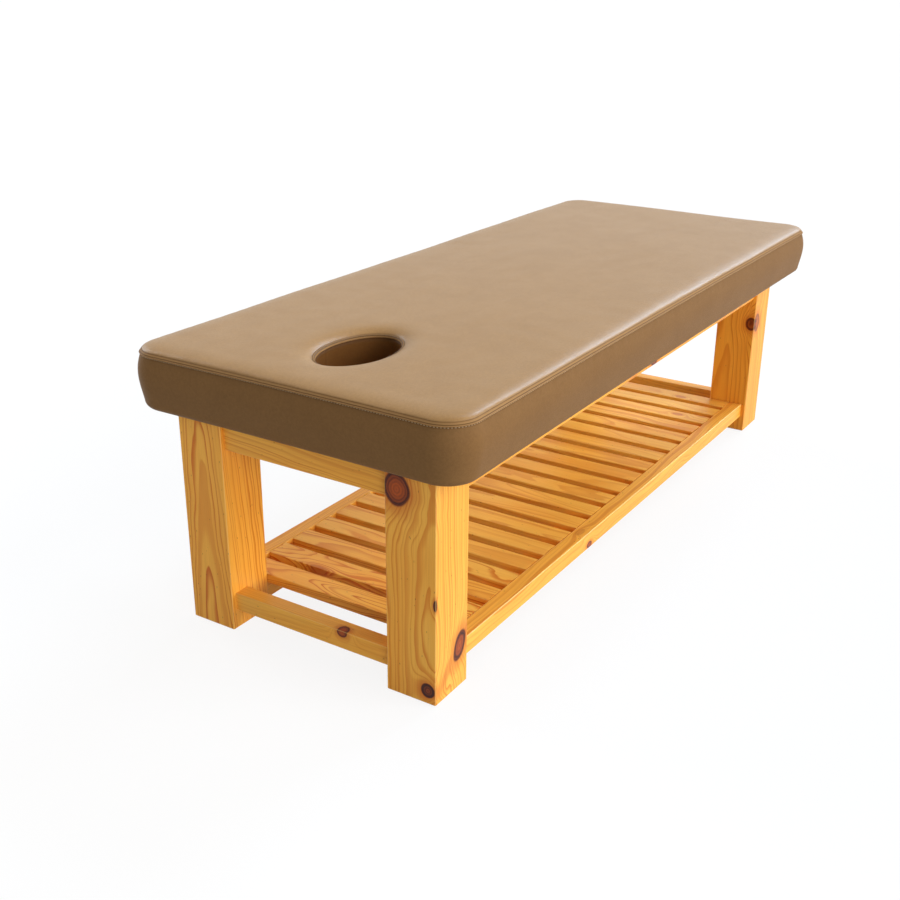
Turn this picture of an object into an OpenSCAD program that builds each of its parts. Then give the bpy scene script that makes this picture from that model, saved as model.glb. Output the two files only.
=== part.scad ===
// Spa bed: padded top with a face hole on a pine frame with a slatted shelf.
// The origin is on the floor under the middle of the pad. X runs along the bed with the head end at -X.

/* [Pad] */
// Length of the pad, at its widest
pad_l = 1880; // [1650:10:2000]
// Width of the pad, at its widest
pad_w = 760; // [640:10:800]
// Height from the pad's underside to its top seam
pad_wall_h = 117; // [90:1:140]
// Radius of the pad's four corners, seen from above
pad_corner_r = 66; // [64:1:90]
// Radius of the rolled lower edge
pad_roll_r = 16; // [10:1:20]
// How far the wall is drawn in at the top seam
seam_draw = 5; // [1:0.5:8]
// How far the wall is drawn in above the rolled lower edge
roll_draw = 2; // [1:0.5:4]
// How far the long and short sides are drawn in between the corners
side_draw = 3; // [0:0.5:6]
// Rise of the soft shoulder above the seam
shoulder_rise = 11; // [6:1:16]
// Width of the soft shoulder inside the seam
shoulder_w = 55; // [40:1:55]
// Fullness of the shoulder's curve, 2 for an ellipse and more for a squarer one
shoulder_power = 2.4; // [2:0.1:3]
// Further rise of the crown to the middle of the pad
crown_rise = 6; // [2:1:10]
// Thickness of the cover
cover_t = 1.2; // [0.8:0.1:2]
// Width of the cover's edge that is turned under the board
margin_w = 30; // [20:1:40]
// Clearance between foam, board and cover
soft_gap = 0.3; // [0.2:0.05:0.5]

/* [Face hole] */
// Length of the open hole, along the bed
hole_l = 212; // [180:2:220]
// Width of the open hole, across the bed
hole_w = 134; // [110:2:150]
// Distance from the pad's head end to the middle of the hole
hole_setback = 243; // [237:1:300]
// Width of the rolled rim between the hole and its seam
rim_w = 6; // [5:0.5:14]
// How far the pad dips down to the rim's seam
rim_dip = 11; // [3:0.5:14]
// Width of that dip round the rim
dip_w = 58; // [30:1:60]
// How fast the dip fades out across its width
dip_fade = 2.4; // [2:0.1:4]

/* [Board] */
// Thickness of the plywood board
board_t = 15; // [12:1:18]
// Width of the lining's edge that is turned under the board
lining_margin = 15; // [10:1:20]

/* [Frame] */
// Height of the frame's top above the floor
frame_h = 470; // [400:5:560]
// How far the pad stands out past the legs at each end
end_overhang = 50; // [20:1:70]
// How far the pad stands out past the legs at each side
side_overhang = 77; // [40:1:90]
// Side of the square legs
leg_w = 110; // [95:1:120]
// Thickness of all the rails
rail_t = 36; // [30:1:40]
// Height of the upper rails
upper_rail_h = 70; // [60:1:100]
// Setback of the upper rails from the outside of the legs
upper_setback = 10; // [2:1:14]
// Height of the lower rails
lower_rail_h = 40; // [38:1:60]
// Setback of the lower rails from the outside of the legs
lower_setback = 12; // [2:1:14]
// Rounding of the rails' and legs' long edges
edge_r = 3; // [1:0.5:5]
// Bevel round the foot of each leg
foot_bevel = 3; // [1:0.5:5]

/* [Joints] */
// Thickness of the tenons
tenon_t = 14; // [10:1:16]
// Length of the tenons
tenon_l = 40; // [25:1:45]
// Shoulder above and below each tenon
tenon_shoulder = 6; // [4:0.5:10]
// Clearance round each tenon in its mortise
tenon_gap = 0.2; // [0.1:0.05:0.4]
// Room left beyond the end of each tenon
mortise_spare = 1.5; // [1:0.5:3]

/* [Bearers] */
// Thickness of the cross bearers
bearer_t = 36; // [30:1:40]
// Height of the cross bearers
bearer_h = 58; // [45:1:60]
// Depth of the housings that take the bearers' ends
housing_d = 10; // [6:1:14]

/* [Shelf] */
// Height of the shelf's top above the floor
shelf_h = 83; // [80:1:140]
// Width of each slat
slat_w = 55; // [45:1:62]
// Thickness of each slat
slat_t = 22; // [18:1:24]
// Joint line between a slat's end and the rail
slat_end_gap = 0.8; // [0.4:0.1:2]
// Space between the outer slats and the legs
slat_side_gap = 0.5; // [0.3:0.1:2]
// Rounding of the slats' long edges
slat_edge_r = 2; // [0.5:0.5:3]
// Height of the ledgers
ledger_h = 36; // [30:1:40]
// Width of the ledgers
ledger_w = 60; // [40:1:62]
// Gap between a ledger's end and the leg
ledger_end_gap = 0.5; // [0.3:0.1:1]

/* [Screws] */
// Shank diameter of all the screws
screw_d = 4.5; // [3.5:0.1:5]
// Head diameter of all the screws
screw_head_d = 9; // [8:0.5:10]
// Thickness of a screw's head at its rim
screw_rim_t = 0.6; // [0.4:0.1:1]
// Clearance round a screw in its hole
screw_gap = 0.15; // [0.1:0.05:0.3]
// Room round a screw's head in its counterbore
bore_room = 1; // [0.5:0.1:1.5]
// How far a slat screw enters the slat
slat_bite = 13; // [8:1:15]
// Depth of the counterbore under a slat screw
slat_bore_d = 6; // [5:1:12]
// How far a ledger screw enters the rail
rail_bite = 22; // [15:1:26]
// Depth of the counterbore of a ledger screw
ledger_bore_d = 25; // [8:1:30]
// How far a bearer screw enters the board
board_bite = 10; // [6:1:10]
// Depth of the counterbore under a bearer screw
bearer_bore_d = 20; // [8:1:30]
// Distance of the outer bearer screws from the upper side rails
bearer_screw_setback = 60; // [45:1:90]

/* [Hidden] */
$fn = 32;
slat_n = 20;
bearer_n = 3;
ledger_screw_n = 6;
// Points round the pad: at each corner, along each long side, the head end and the foot end
corner_n = 5;
long_n = 13;
head_n = 9;
foot_n = 3;
// Shares of the shoulder's width, of the way on to the dip and of the dip's width where the skin has points
shoulder_shares = [0, 0.1, 0.3, 0.65];
middle_shares = [0, 0.5, 1];
dip_shares = [0.6, 0.25, 0];
// Shares of the way up the side wall, and angles round the rolled edge, where the band has points
wall_shares = [0.3, 0.6, 0.85];
roll_angles = [90, 45, 0];
// The rolled rim's outline in shares of its width: out from the open hole, and down from its seam
rim_turns = [[0.6, 0], [0.2, 0.35], [0, 0.9]];
// The foam stops this many rim widths below the rim's seam
foam_rim_drop = 1.5;
// A ray this square to an axis stands on a straight side
straight = 0.999;
// Cuts run this far past the faces they open
cut = 1;

frame_l = pad_l - 2 * end_overhang;
frame_w = pad_w - 2 * side_overhang;
leg_x = frame_l / 2 - leg_w / 2;
leg_y = frame_w / 2 - leg_w / 2;
leg_inner_x = frame_l / 2 - leg_w;
leg_inner_y = frame_w / 2 - leg_w;
span_x = 2 * leg_inner_x;
span_y = 2 * leg_inner_y;
upper_x = frame_l / 2 - upper_setback - rail_t / 2;
upper_y = frame_w / 2 - upper_setback - rail_t / 2;
lower_x = frame_l / 2 - lower_setback - rail_t / 2;
lower_y = frame_w / 2 - lower_setback - rail_t / 2;
upper_z = frame_h - upper_rail_h / 2;
lower_z = shelf_h - lower_rail_h / 2;
upper_inner_y = upper_y - rail_t / 2;
lower_inner_y = lower_y - rail_t / 2;

slat_pitch = (span_x - 2 * slat_side_gap - slat_w) / (slat_n - 1);
slat_l = 2 * (lower_inner_y - slat_end_gap);
slat_z = shelf_h - slat_t / 2;
ledger_top = shelf_h - slat_t;
ledger_y = lower_inner_y - ledger_w / 2;
ledger_l = span_x - 2 * ledger_end_gap;
// The ledger and the rail overlap from the rail's underside to the ledger's top
ledger_screw_z = (ledger_top + shelf_h - lower_rail_h) / 2;

screw_cone_h = (screw_head_d - screw_d) / 2;
ledger_screw_l = ledger_w - ledger_bore_d + rail_bite;
slat_screw_l = ledger_h - slat_bore_d + slat_bite;
bearer_screw_l = bearer_h - bearer_bore_d + cover_t + board_bite;

bearer_l = 2 * (upper_inner_y + housing_d - tenon_gap);
bearer_pitch = 2 * (upper_x - rail_t / 2) / (bearer_n + 1);
bearer_screw_y = upper_inner_y - bearer_screw_setback;

board_z = frame_h + cover_t;
board_top = board_z + board_t;
// The wall turns under the board at this distance from the pad's edge, and the board stops there
turn_inset = roll_draw + pad_roll_r;
board_inset = turn_inset + soft_gap;
margin_inset = turn_inset + margin_w;
seam_z = frame_h + pad_wall_h;
hole_x = -pad_l / 2 + hole_setback;
foam_skin = cover_t + soft_gap;
half_l = pad_l / 2;
half_w = pad_w / 2;
corner_x = half_l - pad_corner_r;
corner_y = half_w - pad_corner_r;

function slat_x(i) = -leg_inner_x + slat_side_gap + slat_w / 2 + (i - 1) * slat_pitch;
function bearer_x(i) = -upper_x + rail_t / 2 + i * bearer_pitch;
// A ledger screw stands halfway between two slats
function ledger_screw_x(i) = slat_x(1 + round((i - 0.5) * (slat_n - 1) / ledger_screw_n)) - slat_pitch / 2;
function two_digits(i) = str(i < 10 ? "0" : "", i);
function slat_name(i) = str("slat_", two_digits(i));
function bearer_name(i) = str("bearer_", i);

pine = [0.90, 0.66, 0.33];
pine_end = [0.82, 0.56, 0.24];
vinyl = [0.62, 0.50, 0.42];

// A rectangle with rounded corners, centred
module soft_square(w, h, r) {
    square([w - 2 * r, h], center = true);
    square([w, h - 2 * r], center = true);
    for (x = [-1, 1], y = [-1, 1])
        translate([x * (w / 2 - r), y * (h / 2 - r)])
            circle(r);
}

// A board along X, centred, with eased long edges
module along_x(l, w, h, r) {
    rotate([90, 0, 90])
        linear_extrude(l, center = true)
            soft_square(w, h, r);
}

// A board along Y, centred, with eased long edges
module along_y(l, w, h, r) {
    rotate([90, 0, 0])
        linear_extrude(l, center = true)
            soft_square(w, h, r);
}

// A rail along X with a tenon at each end
module rail_x(h) {
    along_x(span_x, rail_t, h, edge_r);
    cube([span_x + 2 * tenon_l, tenon_t, h - 2 * tenon_shoulder], center = true);
}

// A rail along Y with a tenon at each end
module rail_y(h) {
    along_y(span_y, rail_t, h, edge_r);
    cube([tenon_t, span_y + 2 * tenon_l, h - 2 * tenon_shoulder], center = true);
}

// The room for the tenons of a rail along X
module mortises_x(h) {
    cube([span_x + 2 * (tenon_l + mortise_spare), tenon_t + 2 * tenon_gap,
          h - 2 * tenon_shoulder + 2 * tenon_gap], center = true);
}

// The room for the tenons of a rail along Y
module mortises_y(h) {
    cube([tenon_t + 2 * tenon_gap, span_y + 2 * (tenon_l + mortise_spare),
          h - 2 * tenon_shoulder + 2 * tenon_gap], center = true);
}

// A face outline with its corners cut off, as seen from one side of a leg
module bevelled(w, h, b) {
    polygon([[-w / 2 + b, 0], [w / 2 - b, 0], [w / 2, b], [w / 2, h],
             [-w / 2, h], [-w / 2, b]]);
}

// A leg with eased edges, a bevelled foot and four mortises; sx and sy pick the corner
module leg(sx, sy) {
    difference() {
        translate([sx * leg_x, sy * leg_y, 0])
            intersection() {
                linear_extrude(frame_h)
                    soft_square(leg_w, leg_w, edge_r);
                rotate([90, 0, 0])
                    linear_extrude(leg_w + 2 * cut, center = true)
                        bevelled(leg_w, frame_h, foot_bevel);
                rotate([90, 0, 90])
                    linear_extrude(leg_w + 2 * cut, center = true)
                        bevelled(leg_w, frame_h, foot_bevel);
            }
        translate([0, sy * upper_y, upper_z])
            mortises_x(upper_rail_h);
        translate([sx * upper_x, 0, upper_z])
            mortises_y(upper_rail_h);
        translate([0, sy * lower_y, lower_z])
            mortises_x(lower_rail_h);
        translate([sx * lower_x, 0, lower_z])
            mortises_y(lower_rail_h);
    }
}

module leg_head_left() {
    color(pine) leg(-1, -1);
}

module leg_head_right() {
    color(pine) leg(-1, 1);
}

module leg_foot_left() {
    color(pine) leg(1, -1);
}

module leg_foot_right() {
    color(pine) leg(1, 1);
}

module upper_rail_head() {
    color(pine) translate([-upper_x, 0, upper_z]) rail_y(upper_rail_h);
}

module upper_rail_foot() {
    color(pine) translate([upper_x, 0, upper_z]) rail_y(upper_rail_h);
}

// An upper side rail with a housing for each bearer's end
module upper_side_rail(sy) {
    difference() {
        translate([0, sy * upper_y, upper_z])
            rail_x(upper_rail_h);
        for (i = [1:bearer_n])
            translate([bearer_x(i), sy * upper_inner_y, frame_h - bearer_h / 2 - tenon_gap + cut / 2])
                cube([bearer_t + 2 * tenon_gap, 2 * housing_d, bearer_h + cut], center = true);
    }
}

module upper_rail_left() {
    color(pine) upper_side_rail(-1);
}

module upper_rail_right() {
    color(pine) upper_side_rail(1);
}

module stretcher_head() {
    color(pine) translate([-lower_x, 0, lower_z]) rail_y(lower_rail_h);
}

module stretcher_foot() {
    color(pine) translate([lower_x, 0, lower_z]) rail_y(lower_rail_h);
}

// A countersunk screw that points along +Z, its head's face at 0
module screw(l) {
    rotate_extrude()
        polygon([[0, 0], [screw_head_d / 2, 0], [screw_head_d / 2, screw_rim_t],
                 [screw_d / 2, screw_rim_t + screw_cone_h], [screw_d / 2, l - screw_d], [0, l]]);
}

// The hole for a screw: a counterbore of depth bore and a hole of depth l beyond its floor
module screw_hole(bore, l) {
    head_r = screw_head_d / 2 + screw_gap;
    shank_r = screw_d / 2 + screw_gap;
    rim_h = screw_rim_t + screw_gap;
    translate([0, 0, -bore - cut])
        cylinder(r = screw_head_d / 2 + bore_room, h = bore + cut);
    rotate_extrude()
        polygon([[0, -cut], [head_r, -cut], [head_r, rim_h], [shank_r, rim_h + screw_cone_h],
                 [shank_r, l + screw_gap], [0, l + screw_gap]]);
}

// A shelf rail with the blind holes that its ledger's screws bite into
module shelf_rail(sy) {
    difference() {
        translate([0, sy * lower_y, lower_z])
            rail_x(lower_rail_h);
        for (i = [1:ledger_screw_n])
            ledger_screw_place(i, sy)
                screw_hole(0, ledger_screw_l);
    }
}

module shelf_rail_left() {
    color(pine) shelf_rail(-1);
}

module shelf_rail_right() {
    color(pine) shelf_rail(1);
}

module ledger_screw_place(i, sy) {
    translate([ledger_screw_x(i), sy * (lower_inner_y - ledger_w + ledger_bore_d), ledger_screw_z])
        rotate([-sy * 90, 0, 0])
            children();
}

module slat_screw_place(i, sy) {
    translate([slat_x(i), sy * ledger_y, ledger_top - ledger_h + slat_bore_d])
        children();
}

module bearer_screw_place(i, sy) {
    translate([bearer_x(i), sy * bearer_screw_y, frame_h - bearer_h + bearer_bore_d])
        children();
}

// A ledger: a bearing strip under the slats' ends, bored for its own screws and the slats'
module ledger(sy) {
    difference() {
        translate([0, sy * ledger_y, ledger_top - ledger_h / 2])
            along_x(ledger_l, ledger_w, ledger_h, slat_edge_r);
        for (i = [1:slat_n])
            slat_screw_place(i, sy)
                screw_hole(slat_bore_d, slat_screw_l);
        for (i = [1:ledger_screw_n])
            ledger_screw_place(i, sy)
                screw_hole(ledger_bore_d, ledger_screw_l);
    }
}

module ledger_left() {
    color(pine_end) ledger(-1);
}

module ledger_right() {
    color(pine_end) ledger(1);
}

// A cross bearer, bored from below for the screws that hold the board
module bearer(i) {
    color(pine_end)
        difference() {
            translate([bearer_x(i), 0, frame_h - bearer_h / 2])
                along_y(bearer_l, bearer_t, bearer_h, slat_edge_r);
            for (sy = [-1, 0, 1])
                bearer_screw_place(i, sy)
                    screw_hole(bearer_bore_d, bearer_screw_l);
        }
}

// A slat of the shelf with a blind hole for the screw at each end
module slat(i) {
    color(pine)
        difference() {
            translate([slat_x(i), 0, slat_z])
                along_y(slat_l, slat_w, slat_t, slat_edge_r);
            for (sy = [-1, 1])
                slat_screw_place(i, sy)
                    screw_hole(0, slat_screw_l);
        }
}

module slat_screws() {
    color("silver")
        for (i = [1:slat_n], sy = [-1, 1])
            slat_screw_place(i, sy)
                screw(slat_screw_l);
}

module ledger_screws() {
    color("silver")
        for (i = [1:ledger_screw_n], sy = [-1, 1])
            ledger_screw_place(i, sy)
                screw(ledger_screw_l);
}

module bearer_screws() {
    color("silver")
        for (i = [1:bearer_n], sy = [-1, 0, 1])
            bearer_screw_place(i, sy)
                screw(bearer_screw_l);
}

// The pad's outline as rays: each has its place on the edge and its outward direction.
// A ray of a corner turns about the corner's centre, the others stand on the straight sides.
function corner_rays(sx, sy, a0) = [
    for (k = [0:corner_n - 1])
        let (a = a0 + 90 * k / (corner_n - 1), u = [cos(a), sin(a)])
            [[sx * corner_x, sy * corner_y] + pad_corner_r * u, u]];

function side_rays(p, q, n, u) = [for (k = [1:n]) [p + (q - p) * k / (n + 1), u]];

rays = concat(
    side_rays([half_l, -corner_y], [half_l, corner_y], foot_n, [1, 0]),
    corner_rays(1, 1, 0),
    side_rays([corner_x, half_w], [-corner_x, half_w], long_n, [0, 1]),
    corner_rays(-1, 1, 90),
    side_rays([-half_l, corner_y], [-half_l, -corner_y], head_n, [-1, 0]),
    corner_rays(-1, -1, 180),
    side_rays([-corner_x, -half_w], [corner_x, -half_w], long_n, [0, -1]),
    corner_rays(1, -1, 270));

// How far a ray's side is drawn in: most at the middle of the side, nothing at the corners
function drawn(r) =
    side_draw * (abs(r[1][0]) > straight ? 1 - pow(r[0][1] / corner_y, 2)
        : abs(r[1][1]) > straight ? 1 - pow(r[0][0] / corner_x, 2) : 0);

// A point on ray r, inset from the edge of the pad
function edge_at(r, inset) = r[0] - r[1] * (inset + drawn(r));

// A point of ray r on an ellipse round the face hole, e outside the open hole
function hole_at(r, e) =
    let (d = r[0] - [hole_x, 0], t = atan2(d[1] / hole_w, d[0] / hole_l))
        [hole_x + (hole_l / 2 + e) * cos(t), (hole_w / 2 + e) * sin(t)];

// Height of the pad's skin above the seam at a point, d inside the edge
function crown_at(p, d) =
    let (s = 1 - min(1, max(0, d) / shoulder_w))
        shoulder_rise * pow(1 - pow(s, shoulder_power), 1 / shoulder_power)
            + crown_rise * (1 - pow(p[0] / half_l, 2)) * (1 - pow(p[1] / half_w, 2));

// Depth of the dip round the hole, e outside the rim's seam
function dip_at(e) = rim_dip * exp(-dip_fade * e / dip_w);

function at_z(p, z) = [p[0], p[1], z];

// One station of the top skin, sunk by s below the true surface
function skin_edge(r, d, s) =
    let (p = edge_at(r, seam_draw + d))
        at_z(edge_at(r, seam_draw + max(d, s)), seam_z + crown_at(p, d) - s);

function skin_mid(r, f, s) =
    let (p = edge_at(r, seam_draw + shoulder_w), q = hole_at(r, rim_w + dip_w), m = p + (q - p) * f)
        at_z(m, seam_z + crown_at(m, shoulder_w) - dip_at(dip_w) * f - s);

function skin_hole(r, e, s) =
    let (m = hole_at(r, rim_w + e))
        at_z(m, seam_z + crown_at(m, shoulder_w) - dip_at(e) - s);

function top_skin(r, s) = concat(
    [for (f = shoulder_shares) skin_edge(r, f * shoulder_w, s)],
    [for (f = middle_shares) skin_mid(r, f, s)],
    [for (f = dip_shares) skin_hole(r, f * dip_w, s)]);

// One station of the side wall, t inside the true surface, at a share f of the way up to the seam
function wall_at(r, f, t, drop = 0) =
    let (z = frame_h + pad_roll_r + (pad_wall_h - pad_roll_r) * f,
         draw = seam_draw * pow(max(0, 2 * f - 1), 2) + roll_draw * pow(max(0, 1 - 2 * f), 2))
        at_z(edge_at(r, t + draw), z - drop);

// One station of the rolled lower edge, t inside the true surface, at an angle a below the level
function roll_at(r, a, t) =
    let (q = pad_roll_r - t)
        at_z(edge_at(r, turn_inset - q * cos(a)), frame_h + pad_roll_r - q * sin(a));

// Height of the rim's seam on ray r
function rim_z(r) = seam_z + crown_at(hole_at(r, rim_w), shoulder_w) - rim_dip;

// One station of the lining's rolled rim, e outside the open hole and h below the rim's seam
function rim_at(r, e, h) = at_z(hole_at(r, e), rim_z(r) - h);

// One of the rim's turns, s inside the true surface
function rim_turn(r, t, s) =
    rim_at(r, t[0] * rim_w + (1 - t[0]) * s, t[1] * rim_w + (1 - t[1] / 2) * s);

// A closed ring whose cross section, one per ray, is a closed loop of points
module ring_body(loops) {
    n = len(loops);
    m = len(loops[0]);
    polyhedron(
        points = [for (l = loops, p = l) p],
        faces = [for (i = [0:n - 1], j = [0:m - 1])
            let (a = i * m + j, b = i * m + (j + 1) % m,
                 c = ((i + 1) % n) * m + (j + 1) % m, d = ((i + 1) % n) * m + j)
                each [[a, b, c], [a, c, d]]]);
}

function reversed(v) = [for (i = [len(v) - 1:-1:0]) v[i]];

module top_board() {
    color("tan")
        difference() {
            translate([0, 0, board_z])
                linear_extrude(board_t)
                    difference() {
                        polygon([for (r = rays) edge_at(r, board_inset)]);
                        polygon([for (r = rays) hole_at(r, foam_skin)]);
                    }
            for (i = [1:bearer_n], sy = [-1, 0, 1])
                bearer_screw_place(i, sy)
                    screw_hole(0, bearer_screw_l);
        }
}

// The foam fills the cover and wraps round the board's edge
module foam_core() {
    color("khaki")
        ring_body([for (r = rays) concat(
            [at_z(edge_at(r, turn_inset), board_top + soft_gap)],
            [for (a = roll_angles) roll_at(r, a, foam_skin)],
            [for (f = wall_shares) wall_at(r, f, foam_skin)],
            top_skin(r, foam_skin),
            [rim_at(r, foam_skin, foam_rim_drop * rim_w),
             at_z(hole_at(r, foam_skin), board_top + soft_gap)])]);
}

module cover_top() {
    color(vinyl)
        ring_body([for (r = rays) concat(top_skin(r, 0), reversed(top_skin(r, cover_t)))]);
}

// The side band, rolled under the board's edge and turned under it
module cover_band() {
    color(vinyl)
        ring_body([for (r = rays) concat(
            [at_z(edge_at(r, margin_inset), frame_h)],
            [for (a = roll_angles) roll_at(r, a, 0)],
            [for (f = wall_shares) wall_at(r, f, 0)],
            [wall_at(r, 1, 0, foam_skin), wall_at(r, 1, cover_t, foam_skin)],
            reversed([for (f = wall_shares) wall_at(r, f, cover_t)]),
            reversed([for (a = roll_angles) roll_at(r, a, cover_t)]),
            [at_z(edge_at(r, margin_inset), board_z)])]);
}

// The hole's lining, from the rolled rim down through the board and turned under it
module face_sleeve() {
    seam_e = rim_w - soft_gap;
    color(vinyl)
        ring_body([for (r = rays) concat(
            [rim_at(r, seam_e, 0)],
            [for (t = rim_turns) rim_turn(r, t, 0)],
            [at_z(hole_at(r, 0), frame_h), at_z(hole_at(r, lining_margin), frame_h),
             at_z(hole_at(r, lining_margin), board_z), at_z(hole_at(r, cover_t), board_z)],
            reversed([for (t = rim_turns) rim_turn(r, t, cover_t)]),
            [rim_at(r, seam_e, cover_t)])]);
}

// The cloth that closes the underside between the turned edges
module dust_cloth() {
    color("dimgray")
        difference() {
            translate([0, 0, frame_h])
                linear_extrude(cover_t)
                    difference() {
                        polygon([for (r = rays) edge_at(r, margin_inset + soft_gap)]);
                        polygon([for (r = rays) hole_at(r, lining_margin + soft_gap)]);
                    }
            for (i = [1:bearer_n], sy = [-1, 0, 1])
                bearer_screw_place(i, sy)
                    screw_hole(0, bearer_screw_l);
        }
}

leg_head_left();
leg_head_right();
leg_foot_left();
leg_foot_right();
upper_rail_head();
upper_rail_foot();
upper_rail_left();
upper_rail_right();
stretcher_head();
stretcher_foot();
shelf_rail_left();
shelf_rail_right();
ledger_left();
ledger_right();
for (i = [1:bearer_n])
    bearer(i);
for (i = [1:slat_n])
    slat(i);
slat_screws();
ledger_screws();
bearer_screws();
top_board();
foam_core();
cover_top();
cover_band();
face_sleeve();
dust_cloth();
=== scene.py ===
import math

import bpy
import numpy as np
from mathutils import Matrix, Vector


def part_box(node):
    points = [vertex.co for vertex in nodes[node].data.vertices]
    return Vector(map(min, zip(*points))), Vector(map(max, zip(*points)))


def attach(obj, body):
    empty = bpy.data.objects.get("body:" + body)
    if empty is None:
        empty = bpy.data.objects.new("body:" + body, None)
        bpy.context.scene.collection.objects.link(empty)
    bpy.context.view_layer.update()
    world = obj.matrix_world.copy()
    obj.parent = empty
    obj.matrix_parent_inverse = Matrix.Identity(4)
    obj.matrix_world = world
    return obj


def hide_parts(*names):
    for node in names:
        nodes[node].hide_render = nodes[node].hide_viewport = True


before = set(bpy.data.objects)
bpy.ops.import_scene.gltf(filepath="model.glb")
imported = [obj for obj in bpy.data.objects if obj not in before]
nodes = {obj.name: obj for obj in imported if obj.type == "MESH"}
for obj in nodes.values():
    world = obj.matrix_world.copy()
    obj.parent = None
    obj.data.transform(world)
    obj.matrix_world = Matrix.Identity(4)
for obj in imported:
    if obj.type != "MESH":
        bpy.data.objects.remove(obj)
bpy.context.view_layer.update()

print("frame loaded:", len(nodes), "nodes")

# The camera
cameraPlace = {
    "position": (-2.4196, -1.2955, 1.2751),
    "heading": -57.739,  # degrees round Z, 0 looks along +Y
    "height": 22.552,  # degrees above the level
    "roll": 0.471,
    "lens": 46.802,
}
scene = bpy.context.scene
scene.view_settings.view_transform = "Standard"


def makeCamera(place):
    heading, height, roll = (math.radians(place[key]) for key in ("heading", "height", "roll"))
    data = bpy.data.cameras.new("camera")
    data.lens = place["lens"]
    data.sensor_width = 36
    data.clip_end = 200
    camera = bpy.data.objects.new("camera", data)
    turn = (Matrix.Rotation(heading, 4, "Z") @ Matrix.Rotation(math.pi / 2 - height, 4, "X")
            @ Matrix.Rotation(roll, 4, "Z"))
    camera.matrix_world = Matrix.Translation(place["position"]) @ turn
    scene.collection.objects.link(camera)
    scene.camera = camera


makeCamera(cameraPlace)

# Helpers for shaders: each one adds to the tree that was opened last.
building = {"tree": None}


# Adds a shader node. Its inputs are sockets to link or plain values.
def put(kind, inputs=None, **settings):
    tree = building["tree"]
    node = tree.nodes.new("ShaderNode" + kind)
    for key, value in settings.items():
        setattr(node, key, value)
    for key, value in (inputs or {}).items():
        if isinstance(value, bpy.types.NodeSocket):
            tree.links.new(value, node.inputs[key])
        else:
            node.inputs[key].default_value = value
    node.location = (220 * (len(tree.nodes) % 12), -260 * (len(tree.nodes) // 12))
    return node


def calc(operation, *terms, clamp=False):
    return put("Math", dict(enumerate(terms)), operation=operation, use_clamp=clamp).outputs[0]


# A function that works through its terms one after the other.
def chain(operation):
    def work(result, *others):
        for other in others:
            result = calc(operation, result, other)
        return result
    return work


plus, minus, times, largest = (chain(name) for name in ("ADD", "SUBTRACT", "MULTIPLY", "MAXIMUM"))


def vecCalc(operation, a, b=(0, 0, 0)):
    node = put("VectorMath", {0: a, 1: b}, operation=operation)
    return node.outputs["Value" if operation in ("DOT_PRODUCT", "LENGTH") else "Vector"]


def scaled(vector, by):
    return put("VectorMath", {0: vector, "Scale": by}, operation="SCALE").outputs["Vector"]


# Steps softly from toLow to toHigh while the value goes from low to high.
def soften(value, low, high, toLow=0.0, toHigh=1.0):
    inputs = {"Value": value, "From Min": low, "From Max": high, "To Min": toLow, "To Max": toHigh}
    return put("MapRange", inputs, interpolation_type="SMOOTHSTEP").outputs["Result"]


def fade(value, low, high):
    return soften(value, low, high, 1.0, 0.0)


def blendColour(share, a, b):
    return put("Mix", {"Factor": share, 6: a, 7: b}, data_type="RGBA").outputs[2]


# Lays colours over the first one, each with its share.
def layColours(colour, layers):
    for share, over in layers:
        colour = blendColour(share, colour, over)
    return colour


def noise(place, scale=1.0, detail=2.0, rough=0.5, output="Fac"):
    inputs = {"Vector": place, "Scale": scale, "Detail": detail, "Roughness": rough}
    return put("TexNoise", inputs).outputs[output]


def voronoi(place, scale=1.0, random=1.0, **settings):
    return put("TexVoronoi", {"Vector": place, "Scale": scale, "Randomness": random}, **settings).outputs


# Opens a shader node group. Each input has its start value: a tuple makes a vector and a number a float.
def newGroup(name, inputs, outputs):
    tree = building["tree"] = bpy.data.node_groups.new(name, "ShaderNodeTree")
    for label, value in inputs.items():
        kind = "NodeSocketVector" if isinstance(value, tuple) else "NodeSocketFloat"
        tree.interface.new_socket(label, in_out="INPUT", socket_type=kind).default_value = value
    for label in outputs:
        kind = "NodeSocketColor" if label == "Colour" else "NodeSocketFloat"
        tree.interface.new_socket(label, in_out="OUTPUT", socket_type=kind)
    end = tree.nodes.new("NodeGroupOutput")
    end.location = (2800, 0)
    return tree.nodes.new("NodeGroupInput").outputs, end.inputs


def closeGroup(made, values):
    for label, value in values.items():
        building["tree"].links.new(value, made[label])
    return building["tree"]


def useGroup(group, inputs):
    return put("Group", inputs, node_tree=group).outputs


# Opens the emptied tree of a material or world.
def openTree(owner):
    owner.use_nodes = True
    building["tree"] = owner.node_tree
    owner.node_tree.nodes.clear()


# A new material with its texture coordinates
def newMaterial(name):
    material = bpy.data.materials.new(name)
    openTree(material)
    return material, put("TexCoord").outputs


# Ends a material with its shader. Relief is the height, its strength and its depth in metres.
def closeMaterial(material, colour, rough, relief=None, **more):
    inputs = {"Base Color": colour, "Roughness": rough, **{k.replace("_", " "): v for k, v in more.items()}}
    if relief:
        bump = put("Bump", dict(zip(("Height", "Strength", "Distance"), relief)))
        inputs["Normal"] = bump.outputs["Normal"]
    put("OutputMaterial", {"Surface": put("BsdfPrincipled", inputs).outputs[0]})
    return material


def rgb(r, g, b):
    level = [((v / 255 + 0.055) / 1.055) ** 2.4 if v > 10 else v / 255 / 12.92 for v in (r, g, b)]
    return (*level, 1.0)


# Pine
alongX, alongY, alongZ, origin = (1, 0, 0), (0, 1, 0), (0, 0, 1), (0, 0, 0)
noKnot = {"Core": 0.0, "Halo": 0.0, "Push": 0.0, "Ring Tone": 0.0}
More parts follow.
